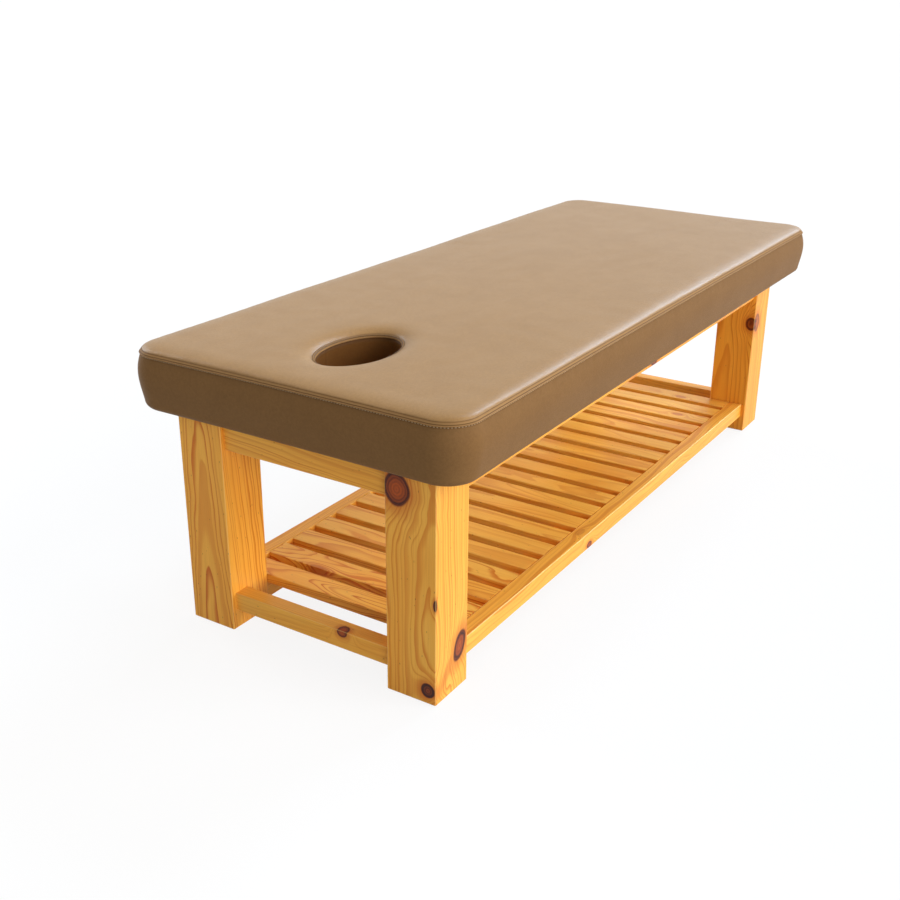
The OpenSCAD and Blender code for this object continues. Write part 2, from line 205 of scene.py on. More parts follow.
# How often each pattern changes per metre: along the board, then across it twice
pineGrain = {
    "bend": (4.2, 16, 16),
    "fibre": (9, 520, 520),
    "tone": (3, 14, 14),
    "speck": (45, 130, 130),
}


# Growth rings: the distance from a leaning pith line, bent by noise, gives the ring's number,
# and its fraction gives the slow pale spring wood and the thin dark summer wood.
def makeRings():
    given, made = newGroup("growthRings", {
        "Place": origin, "Pith": origin, "Lean": origin,
        "Spacing": 0.006, "Wander": 0.004, "Push": 0.0, "Seed": 0.0,
    }, ("Late", "Fibre", "Tone", "Speck"))
    place, seed = given["Place"], given["Seed"]
    shift = put("CombineXYZ", {0: seed, 1: seed, 2: seed}).outputs[0]
    grain = {key: vecCalc("ADD", vecCalc("MULTIPLY", place, by), shift) for key, by in pineGrain.items()}
    bend = times(minus(noise(grain["bend"], rough=0.45), 0.5), given["Wander"], 4.0)
    along = put("SeparateXYZ", {0: place}).outputs["X"]
    pith = vecCalc("ADD", given["Pith"], scaled(given["Lean"], along))
    across = vecCalc("MULTIPLY", vecCalc("SUBTRACT", place, pith), (0, 1, 1))
    radius = plus(vecCalc("LENGTH", across), bend)
    ring = plus(calc("DIVIDE", radius, given["Spacing"]), given["Push"])
    uneven = put("TexNoise", {"W": plus(times(ring, 0.55), seed), "Scale": 1.0, "Detail": 1.0},
                 noise_dimensions="1D").outputs["Fac"]
    ring = plus(ring, times(uneven, 1.6))
    part = calc("FRACT", ring)
    each = put("TexWhiteNoise", {"W": plus(calc("FLOOR", ring), seed)},
               noise_dimensions="1D").outputs["Value"]
    late = times(soften(part, 0.40, 0.93), fade(part, 0.94, 1.0), plus(0.45, times(each, 0.55)))
    dots = voronoi(grain["speck"])
    pick = put("TexWhiteNoise", {"Vector": dots["Position"]}, noise_dimensions="3D").outputs["Value"]
    return closeGroup(made, {
        "Late": late,
        "Fibre": noise(grain["fibre"], detail=3.0, rough=0.6),
        "Tone": noise(grain["tone"]),
        "Speck": times(fade(dots["Distance"], 0.07, 0.13), soften(pick, 0.55, 0.57))})


# A branch knot: the distance from a line through Centre along Branch, with the part along the grain
# divided by Stretch, gives the dark core with its own rings, a darker rim, the stained halo,
# and how far the growth rings are pushed round it.
def makeKnot():
    given, made = newGroup("branchKnot", {
        "Place": origin, "Centre": origin, "Branch": alongX, "Grain": alongZ, "Radius": 0.01, "Stretch": 1.3,
        "Depth": 0.03, "Dark": 1.0, "Stain": 0.0, "Heart": 0.0, "Rings": 4.0, **noKnot,
    }, noKnot)
    place, depth, turns = given["Place"], given["Depth"], given["Rings"]
    rel = vecCalc("SUBTRACT", place, given["Centre"])
    deep = vecCalc("DOT_PRODUCT", rel, given["Branch"])
    flat = vecCalc("SUBTRACT", rel, scaled(given["Branch"], deep))
    along = vecCalc("DOT_PRODUCT", flat, given["Grain"])
    across2 = minus(vecCalc("DOT_PRODUCT", flat, flat), times(along, along))
    reach = calc("DIVIDE", along, given["Stretch"])
    far = calc("SQRT", plus(largest(across2, 0.0), times(reach, reach)))
    wobble = plus(0.85, times(noise(place, 30.0, 0.0), 0.30))
    share = times(calc("DIVIDE", far, given["Radius"]), wobble)
    near = fade(calc("ABSOLUTE", deep), depth, times(depth, 1.6))
    core = times(fade(share, 0.86, 1.04), near, given["Dark"])
    patchy = noise(place, 160.0, 3.0)
    uneven = plus(share, times(patchy, 0.12))
    spin = calc("SINE", times(uneven, turns, 2 * math.pi))
    spin = times(spin, soften(patchy, 0.2, 0.6, 0.1, 1.0))
    rim = fade(calc("ABSOLUTE", minus(share, 0.95)), 0.02, 0.11)
    ripple = plus(times(spin, 0.20), soften(uneven, 0.30, 1.05, 0.25, 0.95), given["Heart"])
    ringTone = times(calc("ADD", ripple, times(rim, 0.5), clamp=True), core)
    halo = times(fade(share, 0.7, 2.1), near, largest(given["Dark"], given["Stain"]))
    outside = calc("DIVIDE", share, 1.9)
    push = times(calc("EXPONENT", times(outside, outside, -1.0)), turns, near)
    return closeGroup(made, {
        "Core": largest(core, given["Core"]),
        "Halo": largest(halo, given["Halo"]),
        "Push": plus(push, given["Push"]),
        "Ring Tone": largest(ringTone, given["Ring Tone"])})


# Varnished pine: the masks mixed into colour, gloss and relief.
# The edge mask is 0 on the flat faces and grows on the eased edges, which it paints paler: wear and a painted
# highlight.
def makePineFinish():
    given, made = newGroup("pineFinish", {
        "Late": 0.0, "Fibre": 0.5, "Tone": 0.5, "Speck": 0.0, "Core": 0.0, "Halo": 0.0, "Ring Tone": 0.0,
        "Normal": alongZ, "Contrast": 0.6, "Warmth": 0.5, "Edge Wear And Highlight": 0.4,
    }, ("Colour", "Roughness", "Height"))
    late, fibre, ringTone = given["Late"], given["Fibre"], given["Ring Tone"]
    bent = put("SeparateXYZ", {0: vecCalc("ABSOLUTE", given["Normal"])}).outputs
    most = largest(bent[0], bent[1], bent[2])
    spring = blendColour(given["Warmth"], rgb(252, 194, 86), rgb(252, 178, 62))
    colour = layColours(spring, (
        (calc("MULTIPLY", late, given["Contrast"], clamp=True),
         blendColour(given["Warmth"], rgb(214, 116, 28), rgb(200, 94, 18))),
        (soften(given["Tone"], 0.3, 0.75, 0.0, 0.38), rgb(246, 158, 44)),
        (soften(fibre, 0.35, 0.75, 0.0, 0.26), rgb(196, 108, 30)),
        (times(given["Halo"], 0.65), rgb(196, 92, 26)),
        (given["Core"], blendColour(ringTone, rgb(186, 84, 24), rgb(62, 18, 5))),
        (times(given["Speck"], 0.6), rgb(120, 50, 14)),
        # Eased edges painted paler: wear and a painted highlight
        (times(fade(most, 0.72, 0.985), given["Edge Wear And Highlight"]), rgb(252, 214, 140))))
    rough = minus(plus(0.34, times(fibre, 0.12)), times(given["Core"], 0.06))
    height = plus(times(late, 0.5), times(fibre, 0.35), times(ringTone, -0.4))
    return closeGroup(made, {"Colour": colour, "Roughness": rough, "Height": height})


growthRings, branchKnot, pineFinish = makeRings(), makeKnot(), makePineFinish()
grainWay = {"X": alongX, "Y": alongY, "Z": alongZ}
# What turns a board's length onto X
grainTurn = {"X": origin, "Y": (0, 0, math.pi / 2), "Z": (0, -math.pi / 2, 0)}

# What a board has where its own settings say nothing. A knot then has what branchKnot starts with.
plainBoard = {"lean": (0.02, 0.01), "spacing": 0.007, "wander": 0.004,
              "contrast": 0.6, "warmth": 0.5, "wearAndHighlight": 0.4, "seed": 0.0}


def knot(centre, branch, radius, stretch, **more):
    return {"centre": centre, "branch": branch, "radius": radius, "stretch": stretch, **more}


# One board's varnished pine, with its grain along the letter way and its middle at centre.
def pineMaterial(name, centre, way, look, knots=()):
    material, coords = newMaterial(name)
    look = {**plainBoard, **look}
    board = put("Mapping", {
        "Vector": coords["Object"], "Location": centre, "Rotation": grainTurn[way],
    }, vector_type="TEXTURE").outputs["Vector"]
    found = noKnot
    for each in knots:
        found = useGroup(branchKnot, {
            "Place": coords["Object"], "Grain": grainWay[way], **{key: found[key] for key in noKnot},
            **{key.capitalize(): value for key, value in each.items()}})
    grown = useGroup(growthRings, {
        "Place": board, "Pith": (0, *look["pith"]), "Lean": (0, *look["lean"]), "Spacing": look["spacing"],
        "Wander": look["wander"], "Push": found["Push"], "Seed": look["seed"]})
    finish = useGroup(pineFinish, {
        **{key: grown[key] for key in ("Late", "Fibre", "Tone", "Speck")},
        **{key: found[key] for key in ("Core", "Halo", "Ring Tone")}, "Normal": coords["Normal"],
        "Contrast": look["contrast"], "Warmth": look["warmth"], "Edge Wear And Highlight": look["wearAndHighlight"]})
    return closeMaterial(material, finish["Colour"], finish["Roughness"], (finish["Height"], 0.25, 0.0006),
                         Specular_IOR_Level=0.16, Coat_Weight=0.07, Coat_Roughness=0.14, Coat_IOR=1.5)


def dress(piece, material):
    piece.data.materials.clear()
    piece.data.materials.append(material)


# Gives a packed wooden node its own board of pine. Legs stand, rails and ledgers on the left and right
# run along the bed, and all other boards across it.
def panel(node, look, knots=()):
    low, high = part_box(node)
    way = "Z" if node.startswith("leg_") else "X" if node.endswith(("left", "right")) else "Y"
    dress(nodes[node], pineMaterial(node + "Pine", (low + high) / 2, way, look, knots))


# Pith is where the heart of the tree lies, in metres from the board's middle: (y, z) on a board along X,
# (-x, z) on one along Y and (y, -x) on one along Z. Lean is how far it moves that way per metre of length.
boardLooks = {
    "leg_head_left": dict(pith=(-0.050, 0.105), lean=(0.03, 0.02), spacing=0.0088, wander=0.0065,
                          contrast=0.85, warmth=0.3, seed=3.1),
    "leg_head_right": dict(pith=(0.002, 0.110), lean=(0.01, 0.055), spacing=0.0078, wander=0.0065,
                           contrast=1.1, seed=8.4),
    "leg_foot_left": dict(pith=(0.030, 0.120), lean=(0.02, 0.02), spacing=0.008, wander=0.006,
                          contrast=1.0, warmth=1.0, seed=14.2),
    "leg_foot_right": dict(pith=(-0.020, 0.140), lean=(0.02, -0.02), spacing=0.0075, wander=0.006, seed=21.7),
    "upper_rail_head": dict(pith=(0.010, -0.070), lean=(0.0, 0.06), spacing=0.009, wander=0.006,
                            contrast=0.8, warmth=0.55, seed=31.0),
    "upper_rail_foot": dict(pith=(0.090, 0.030), spacing=0.008, seed=37.0),
    # Its warmth and contrast of 1.0 are painted shade: the rail is made darker and warmer as it lies in the
    # pad's shadow
    "upper_rail_left": dict(pith=(0.080, 0.020), lean=(0.01, 0.01), spacing=0.012, wander=0.009,
                            contrast=1.0, warmth=1.0, seed=43.0),
    "upper_rail_right": dict(pith=(-0.080, 0.020), lean=(0.01, 0.01), spacing=0.008, seed=49.0),
    "stretcher_head": dict(pith=(-0.090, 0.050), spacing=0.006, wander=0.003,
                           contrast=0.35, warmth=0.3, seed=53.0),
    "stretcher_foot": dict(pith=(0.090, 0.050), spacing=0.006, contrast=0.5, seed=57.0),
    "shelf_rail_left": dict(pith=(0.070, 0.060), lean=(0.012, 0.01), spacing=0.009, wander=0.007,
                            seed=61.0, wearAndHighlight=0.8),
    "shelf_rail_right": dict(pith=(-0.070, 0.060), lean=(0.012, 0.01), spacing=0.009, wander=0.007,
                             seed=67.0),
}
boardKnots = {
    "leg_head_left": [
        knot((-0.890, -0.220, 0.424), alongX, 0.031, 1.12, rings=5.0),
        knot((-0.890, -0.286, 0.030), (0.95, 0.3, 0), 0.015, 1.1, rings=3.0, heart=0.45),
        knot((-0.808, -0.303, 0.091), alongY, 0.020, 1.75, grain=(0.42, 0, 0.91), depth=0.02,
             rings=3.0, heart=0.1),
        knot((-0.889, -0.301, 0.214), (0.7, 0.7, 0), 0.0036, 3.6, depth=0.008, rings=1.0, heart=0.5),
        knot((-0.846, -0.303, 0.062), alongY, 0.008, 5.5, grain=(0.62, 0, 0.78), depth=0.02,
             rings=0.5, stain=0.8, dark=0.0),
    ],
    "leg_foot_left": [
        knot((0.780, -0.294, 0.327), alongX, 0.016, 1.25, depth=0.014, rings=3.0),
        knot((0.800, -0.303, 0.330), alongY, 0.022, 1.3, depth=0.012, rings=3.0, dark=0.8),
    ],
    "upper_rail_left": [
        knot((0.610, -0.293, 0.428), alongY, 0.016, 1.5, rings=3.0),
        knot((0.071, -0.293, 0.412), alongY, 0.012, 1.6, rings=3.0),
    ],
    "upper_rail_right": [
        knot((-0.34, 0.293, 0.437), alongY, 0.010, 1.5, rings=3.0),
    ],
    "stretcher_head": [
        knot((-0.878, -0.078, 0.079), (0.8, 0, 0.6), 0.0085, 1.5, depth=0.015),
    ],
    "shelf_rail_left": [
        knot((-0.228, -0.291, 0.052), alongY, 0.0085, 1.5, depth=0.02),
        knot((-0.239, -0.272, 0.083), alongZ, 0.008, 2.4, depth=0.008, rings=2.0, dark=0.3),
    ],
}
for boardName, look in boardLooks.items():
    panel(boardName, look, boardKnots.get(boardName, ()))

hiddenPine = {"pith": (0.06, 0.04), "warmth": 0.35, "wearAndHighlight": 0.1}
for index, plainName in enumerate(("ledger_left", "ledger_right", "bearer_1", "bearer_2", "bearer_3")):
    panel(plainName, {**hiddenPine, "seed": 71.0 + 3.7 * index})

# Each pair is the least and the most that a slat can have.
slatLooks = {
    "count": 20,
    "pithAside": (-0.045, 0.045),
    "pithBelow": (-0.035, -0.085),
    "leanAside": (-0.025, 0.025),
    "leanDown": (-0.05, 0.05),
    "spacing": (0.008, 0.013),
    "contrast": (0.45, 0.85),
    "warmth": (0.0, 0.40),
    "wander": 0.008,
    "wearAndHighlight": 0.3,
    "seed": 5,
}
slatKnots = {
    2: [knot((-0.702, 0.118, 0.083), (0.2, 0.1, 0.97), 0.009, 2.8, depth=0.012, dark=0.35, stain=0.9)],
    18: [knot((0.599, -0.165, 0.083), alongZ, 0.008, 2.0, depth=0.02, rings=3.0, dark=0.35, stain=0.8)],
    20: [knot((0.741, -0.116, 0.083), alongZ, 0.007, 2.0, depth=0.02, rings=3.0, dark=0.3, stain=0.7)],
}
# The slats next to the head end show the widest figure.
slatFigure = {
    1: dict(pith=(0.006, -0.030), lean=(0.0, -0.07), spacing=0.0065, wander=0.010, contrast=1.35),
    2: dict(pith=(-0.012, -0.034), lean=(0.0, 0.06), spacing=0.0060, wander=0.010, contrast=1.45),
    3: dict(pith=(0.016, -0.036), lean=(0.02, -0.04), spacing=0.0075, contrast=1.15),
    4: dict(contrast=1.0),
    5: dict(contrast=0.95),
}


def between(key, share):
    low, high = slatLooks[key]
    return low + share * (high - low)


slatDice = np.random.default_rng(slatLooks["seed"])
for index in range(1, slatLooks["count"] + 1):
    side, below, lean, gap, contrast, warmth = slatDice.random(6)
    look = {
        "pith": (between("pithAside", side), between("pithBelow", below)),
        "lean": (between("leanAside", lean), between("leanDown", lean)),
        "spacing": between("spacing", gap), "contrast": between("contrast", contrast),
        "warmth": between("warmth", warmth), "wander": slatLooks["wander"], "wearAndHighlight": slatLooks["wearAndHighlight"],
        "seed": 90.0 + 4.3 * index, **slatFigure.get(index, {})}
    panel("slat_%02d" % index, look, slatKnots.get(index, ()))
print("pine boards dressed")

# Plywood and screws
plywoodLook = {"lowest": 0.4712, "layer": 0.0042}


def plywoodMaterial():
    material, coords = newMaterial("plywood")
    place = coords["Object"]
    height = put("SeparateXYZ", {0: place}).outputs["Z"]
    ply = calc("FRACT", times(minus(height, plywoodLook["lowest"]), 1 / plywoodLook["layer"]))
    band = soften(calc("ABSOLUTE", minus(ply, 0.5)), 0.2, 0.3)
    face = noise(vecCalc("MULTIPLY", place, (5, 90, 90)), detail=4.0)
    colour = layColours(rgb(214, 178, 128), (
        (soften(face, 0.3, 0.7), rgb(188, 146, 96)), (times(band, 0.4), rgb(140, 98, 60))))
    return closeMaterial(material, colour, 0.72, (face, 0.3, 0.0005))


def screwMaterial():
    material, coords = newMaterial("zincScrew")
    dull = noise(coords["Object"], 900.0, 3.0)
    colour = blendColour(dull, rgb(206, 196, 164), rgb(150, 146, 138))
    return closeMaterial(material, colour, plus(0.25, times(dull, 0.2)), Metallic=1.0)


dress(nodes["top_board"], plywoodMaterial())
zinc = screwMaterial()
for screwName in ("slat_screws", "ledger_screws", "bearer_screws"):
    dress(nodes[screwName], zinc)


# Vinyl
# Calendered vinyl: small rounded pebbles with fine creases between them, over a slow cloudy tone.
def makeVinylGrain():
    given, made = newGroup("vinylGrain", {"Place": origin, "Pebble": 0.0016},
                           ("Height", "Cloud", "Crease", "Mottle"))
    place = given["Place"]
    warp = noise(place, 220.0, output="Color")
    warped = vecCalc("ADD", place, scaled(warp, 0.0012))
    pebble = voronoi(warped, calc("DIVIDE", 1.0, given["Pebble"]), feature="DISTANCE_TO_EDGE")["Distance"]
    return closeGroup(made, {
        "Height": plus(soften(pebble, 0.0, 0.3), times(noise(place, 1500.0), 0.4)),
        "Cloud": noise(place, 14.0, 5.0, 0.6),
        "Crease": fade(pebble, 0.0, 0.18),
        "Mottle": noise(place, 170.0, 3.0, 0.7)})


vinylGrain = makeVinylGrain()
# Each vinyl's colour, its cloudy patches, its dark colour for grain creases, mottling and painted seam shade,
# its roughness and its gloss
vinylLooks = {
    "topVinyl": (rgb(169, 130, 83), rgb(161, 123, 78), rgb(84, 58, 36), 0.32, 0.36),
    # The band is the top's vinyl painted darker: painted shade on the sides, which get less light than the
    # top
    "shadedBandVinyl": (rgb(132, 97, 59), rgb(126, 92, 56), rgb(62, 40, 24), 0.42, 0.08),
    "bindingVinyl": (rgb(158, 120, 76), rgb(152, 115, 72), rgb(58, 36, 20), 0.45, 0.1),
    "liningVinyl": (rgb(106, 70, 34), rgb(100, 65, 31), rgb(60, 38, 22), 0.50, 0.1),
}
# The top vinyl's own colour, for the fold turned over onto the band's painted-shade colour
foldBrown = rgb(160, 122, 78)


# Satin vinyl. The piece's attribute "shade" is 0 on plain skin and 1 down in its seams and stitch holes,
# where it paints shade by darkening the skin towards the seam colour, and -1 where a paler strip is folded
# over.
def vinylMaterial(name):
    skin, clouds, grainAndSeamShade, roughness, gloss = vinylLooks[name]
    material, coords = newMaterial(name)
    grain = useGroup(vinylGrain, {"Place": coords["Object"]})
    shade = put("Attribute", attribute_name="shade").outputs["Fac"]
    colour = layColours(skin, (
        (soften(grain["Cloud"], 0.35, 0.7, 0.0, 0.5), clouds),
        (times(grain["Crease"], 0.14), grainAndSeamShade),
        (soften(grain["Mottle"], 0.38, 0.62, 0.0, 0.10), grainAndSeamShade),
        # The top's own paler colour where its strip is folded over, then painted shade in seams, creases and
        # stitch holes
        (calc("MULTIPLY", shade, -1.0, clamp=True), foldBrown),
        (calc("MULTIPLY", shade, 0.85, clamp=True), grainAndSeamShade)))
    rough = plus(roughness - 0.03, times(grain["Cloud"], 0.06))
    return closeMaterial(material, colour, rough, (grain["Height"], 0.18, 0.0003),
                         IOR=1.28, Specular_IOR_Level=gloss)


vinyl = {name: vinylMaterial(name) for name in vinylLooks}

# The pad's shapes
pad = {
    "length": 1.880, "width": 0.760, "bottom": 0.470, "wallHeight": 0.117,
    "cornerRadius": 0.066, "rollRadius": 0.016,
    "seamDraw": 0.005, "rollDraw": 0.002, "sideDraw": 0.003, "wallBulge": 0.0060,
    "shoulderRise": 0.011, "shoulderWidth": 0.055, "shoulderPower": 2.4, "crownRise": 0.006,
    "coverThickness": 0.0012, "margin": 0.030, "gap": 0.0003, "boardTop": 0.4862,
    "holeX": -0.697, "holeLength": 0.212, "holeWidth": 0.134,
    "rimWidth": 0.006, "rimDip": 0.011, "dipWidth": 0.058, "dipFade": 3.8, "liningMargin": 0.015,
    "step": 0.0056,  # distance between stations round the edge
}
seamZ = pad["bottom"] + pad["wallHeight"]
wallLow = pad["bottom"] + pad["rollRadius"]
turnInset = pad["rollDraw"] + pad["rollRadius"]
halfL, halfW = pad["length"] / 2, pad["width"] / 2
cornerX, cornerY = halfL - pad["cornerRadius"], halfW - pad["cornerRadius"]


# Stations round the edge, anticlockwise from the foot end's -Y end: four straight sides and four quarter
# circles in turn. Each has its place on the edge, its outward direction, how far its side is drawn in,
# which is sideDraw * (1 - (s / half)^2), and its distance round.
def padStations(step):
    places, outs, draws = [], [], []
    for index, angle in enumerate((0, 90, 180, 270)):
        turn = math.radians(angle)
        out = np.array((math.cos(turn), math.sin(turn)))
        level = np.array((-out[1], out[0]))
        half, reach = (cornerY, halfL) if index % 2 == 0 else (cornerX, halfW)
        s = np.linspace(-half, half, int(2 * half / step) + 1)[:-1]
        places.append(out * reach + s[:, None] * level)
        outs.append(np.repeat(out[None], len(s), 0))
        draws.append(pad["sideDraw"] * (1 - (s / half) ** 2))
        quarter = np.linspace(0, math.pi / 2, int(pad["cornerRadius"] * math.pi / 2 / step) + 1)[:-1]
        arc = np.stack((np.cos(turn + quarter), np.sin(turn + quarter)), 1)
        centre = np.array((cornerX, cornerY)) * np.sign(out + level)
        places.append(centre + pad["cornerRadius"] * arc)
        outs.append(arc)
        draws.append(np.zeros(len(quarter)))
    place, out, draw = np.concatenate(places), np.concatenate(outs), np.concatenate(draws)
    length = np.linalg.norm(np.roll(place, -1, 0) - place, axis=1)
    return place, out, draw, np.concatenate(([0], np.cumsum(length)[:-1])), length.sum()


place, out, draw, around, roundIt = padStations(pad["step"])


def edgeAt(inset):
    return place - out * (np.asarray(inset) + draw)[:, None]


# The ellipse e outside the open hole, at each station's bearing from the hole's middle.
bearing = np.arctan2(place[:, 1] / pad["holeWidth"], (place[:, 0] - pad["holeX"]) / pad["holeLength"])


def holeAt(e, angle=bearing):
    return np.stack((pad["holeX"] + (pad["holeLength"] / 2 + e) * np.cos(angle),
                     (pad["holeWidth"] / 2 + e) * np.sin(angle)), 1)


# Shoulder rise * (1 - (1 - d / width)^power)^(1 / power) plus the crown (1 - x^2)(1 - y^2).
def crownAt(p, d):
    s, power = 1 - np.clip(np.asarray(d) / pad["shoulderWidth"], 0, 1), pad["shoulderPower"]
    return (pad["shoulderRise"] * (1 - s ** power) ** (1 / power)
            + pad["crownRise"] * (1 - (p[:, 0] / halfL) ** 2) * (1 - (p[:, 1] / halfW) ** 2))


def dipAt(e):
    return pad["rimDip"] * np.exp(-pad["dipFade"] * np.asarray(e) / pad["dipWidth"])


# The height of the top at points p inside the shoulder, less the dip.
def topAt(p, dip):
    return seamZ + crownAt(p, pad["shoulderWidth"]) - dip


def raised(p, z):
    return np.column_stack((p, np.broadcast_to(z, len(p))))


# The plain top in rows, from the edge seam to the hole's rim. Each has the part it lies in, its distance
# from the seam, its share of the way across the middle or its distance from the rim, its points and heights.
def topRows(look):
    for d in pad["shoulderWidth"] * (1 - np.cos(np.linspace(0, math.pi / 2, look["shoulderRows"]))):
        p = edgeAt(pad["seamDraw"] + d)
        yield "shoulder", d, p, seamZ + crownAt(p, d)
    a, b = edgeAt(pad["seamDraw"] + pad["shoulderWidth"]), holeAt(pad["rimWidth"] + pad["dipWidth"])
    for f in np.linspace(0, 1, look["middleRows"] + 1)[1:]:
        p = a + (b - a) * f
        e = np.linalg.norm(p - b, axis=1) + pad["dipWidth"]
        yield "middle", f, p, topAt(p, dipAt(e) * f)
    for e in pad["dipWidth"] * np.linspace(1, 0, look["dipRows"] + 1)[1:] ** look["dipPower"]:
        p = holeAt(pad["rimWidth"] + e)
        yield "dip", e, p, topAt(p, dipAt(e))


# The painted shade at distance d from a seam, depth * e^(-d / reach)
def shadeAt(d, seam):
    depth, reach = seam
    return depth * math.exp(-d / reach)


# A slow uneven wave along the edge: sines with whole turns, so that it meets itself.
def unevenWave(lengths, seed):
    dice = np.random.default_rng(seed)
    wave = np.zeros_like(around)
    for length in lengths:
        turns = max(1, round(roundIt / length))
        wave += np.sin(2 * math.pi * (turns * around / roundIt + dice.random()))
    return wave / len(lengths)


def meshPiece(name, points, faces):
    mesh = bpy.data.meshes.new(name)
    mesh.from_pydata(points, [], faces)
    piece = bpy.data.objects.new(name, mesh)
    scene.collection.objects.link(piece)
    return piece


# A smooth piece of the bed, in one material
def makePiece(name, points, faces, material):
    piece = meshPiece(name, points.reshape(-1, 3), faces)
    piece.data.polygons.foreach_set("use_smooth", np.ones(len(faces), bool))
    dress(piece, material)
    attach(piece, "root")
    return piece


# Joins rows of points, each row closed on itself, into one skin. The last row joins the first, as on a tube.
def skinPiece(name, rows, material, shade=None, turned=False):
    grid = np.asarray(rows)
    m, n = grid.shape[:2]
    i, j = np.arange(m)[:, None], np.arange(n)
    nextRow, nextCol = (i + 1) % m, (j + 1) % n
    quads = np.stack((i * n + j, i * n + nextCol, nextRow * n + nextCol, nextRow * n + j), -1).reshape(-1, 4)
    piece = makePiece(name, grid, (quads[:, ::-1] if turned else quads).tolist(), material)
    if shade is not None:
        values = np.asarray(shade, np.float32).ravel()
        piece.data.attributes.new("shade", "FLOAT", "POINT").data.foreach_set("value", values)
    return piece


# The top panel
topLook = {
    "shoulderRows": 20,
    "middleRows": 36,
    "dipRows": 18,
    "dipPower": 1.5,  # draws the rows together towards the rim
    "backStep": 4,  # the back of the cover repeats every fourth row
    "pucker": 0.00035,  # height of the small gathers along the edge seam
    "puckerReach": 0.012,
    "gathers": ((0.031, 0.043, 0.067), 11),  # their lengths and seed
    # Painted shade along the edge seam and round the hole's rim: how dark, and how far it reaches
    "seamShade": (0.35, 0.0006),  # how dark the seam is, and how far its shade reaches
    "rimShade": (0.8, 0.0014),
    "swell": 0.0005,  # unevenness of the foam under the skin
    "waveHeight": 0.0003,
    "seamFree": 0.004,  # gathers and waves grow over this distance from the edge seam
    "rimFree": 0.02,  # and over this one from the hole's rim
}


# The top as cloth: a flat sheet slightly too large for its seams, pinned along them and held by the foam
# elsewhere. What it rises by once it has settled, scaled to waveHeight, is the skin's own waviness.
clothLook = {
    "step": 0.010,
    "start": 0.00005,  # unevenness of the sheet before it settles
    "foamHold": 0.25,  # how firmly the foam holds it, against 1 in the seams
    "frames": 20,
    "seed": 4,
    "settings": {
        "vertex_group_mass": "held", "mass": 0.3, "tension_stiffness": 15, "compression_stiffness": 15,
        "shear_stiffness": 5, "bending_stiffness": 25.0, "use_pressure": True, "uniform_pressure_force": 0.3,
        "shrink_min": -0.004,  # the share by which the sheet is cut too large
    },
}


def settleCloth():
    look, step = clothLook, clothLook["step"]
    x, y = np.meshgrid(np.arange(-halfL, halfL + step / 2, step),
                       np.arange(-halfW, halfW + step / 2, step), indexing="ij")
    beyond = np.stack((np.abs(x) - cornerX, np.abs(y) - cornerY))
    past = np.linalg.norm(np.maximum(beyond, 0), axis=0) + np.minimum(beyond.max(0), 0)
    a, b = pad["holeLength"] / 2 + pad["rimWidth"], pad["holeWidth"] / 2 + pad["rimWidth"]
    clear = np.minimum(pad["cornerRadius"] - past - pad["seamDraw"],
                       (np.hypot((x - pad["holeX"]) / a, y / b) - 1) * b)
    kept = clear >= 0
    number = np.where(kept, np.cumsum(kept).reshape(kept.shape) - 1, -1)
    cells = np.stack((number[:-1, :-1], number[1:, :-1], number[1:, 1:], number[:-1, 1:]), -1).reshape(-1, 4)
    start = np.random.default_rng(look["seed"]).normal(0, look["start"], kept.sum())
    points = np.column_stack((x[kept], y[kept], start))
    sheet = meshPiece("clothSheet", points, cells[(cells >= 0).all(1)].tolist())
    held = sheet.vertex_groups.new(name="held")
    sewn = clear[kept] < 1.5 * step
    held.add(np.flatnonzero(sewn).tolist(), 1.0, "REPLACE")
    held.add(np.flatnonzero(~sewn).tolist(), look["foamHold"], "REPLACE")
    cloth = sheet.modifiers.new("cloth", "CLOTH")
    for key, value in look["settings"].items():
        setattr(cloth.settings, key, value)
    cloth.settings.effector_weights.gravity = 0
    cloth.collision_settings.use_collision = False
    cloth.point_cache.frame_end = look["frames"]
    for frameNumber in range(1, look["frames"] + 1):
        scene.frame_set(frameNumber)
    settled = sheet.evaluated_get(bpy.context.evaluated_depsgraph_get()).data
    after = np.empty(len(settled.vertices) * 3, np.float32)
    settled.vertices.foreach_get("co", after)
    rise = np.zeros(kept.shape)
    rise[kept] = after.reshape(-1, 3)[:, 2] - start
    scene.frame_set(1)
    bpy.data.meshes.remove(sheet.data)  # which removes the sheet too
    print("cloth settled, rises between %.2f and %.2f mm" % (rise.min() * 1000, rise.max() * 1000))
    return rise / np.abs(rise).max()


clothRise = settleCloth()


# The foam's slow swell and the skin's waves at points p.
def swellAt(p):
    x, y = p[:, 0], p[:, 1]
    foam = np.sin(7.1 * x + 1.3) * np.sin(11.3 * y + 0.4) + 0.6 * np.sin(17.0 * x - 9.0 * y)
    u, v = (x + halfL) / clothLook["step"], (y + halfW) / clothLook["step"]
    i = np.clip(u.astype(int), 0, clothRise.shape[0] - 2)
    j = np.clip(v.astype(int), 0, clothRise.shape[1] - 2)
    f, g = u - i, v - j
    near = clothRise[i, j] * (1 - f) + clothRise[i + 1, j] * f
    far = clothRise[i, j + 1] * (1 - f) + clothRise[i + 1, j + 1] * f
    return topLook["swell"] * foam + topLook["waveHeight"] * (near * (1 - g) + far * g)


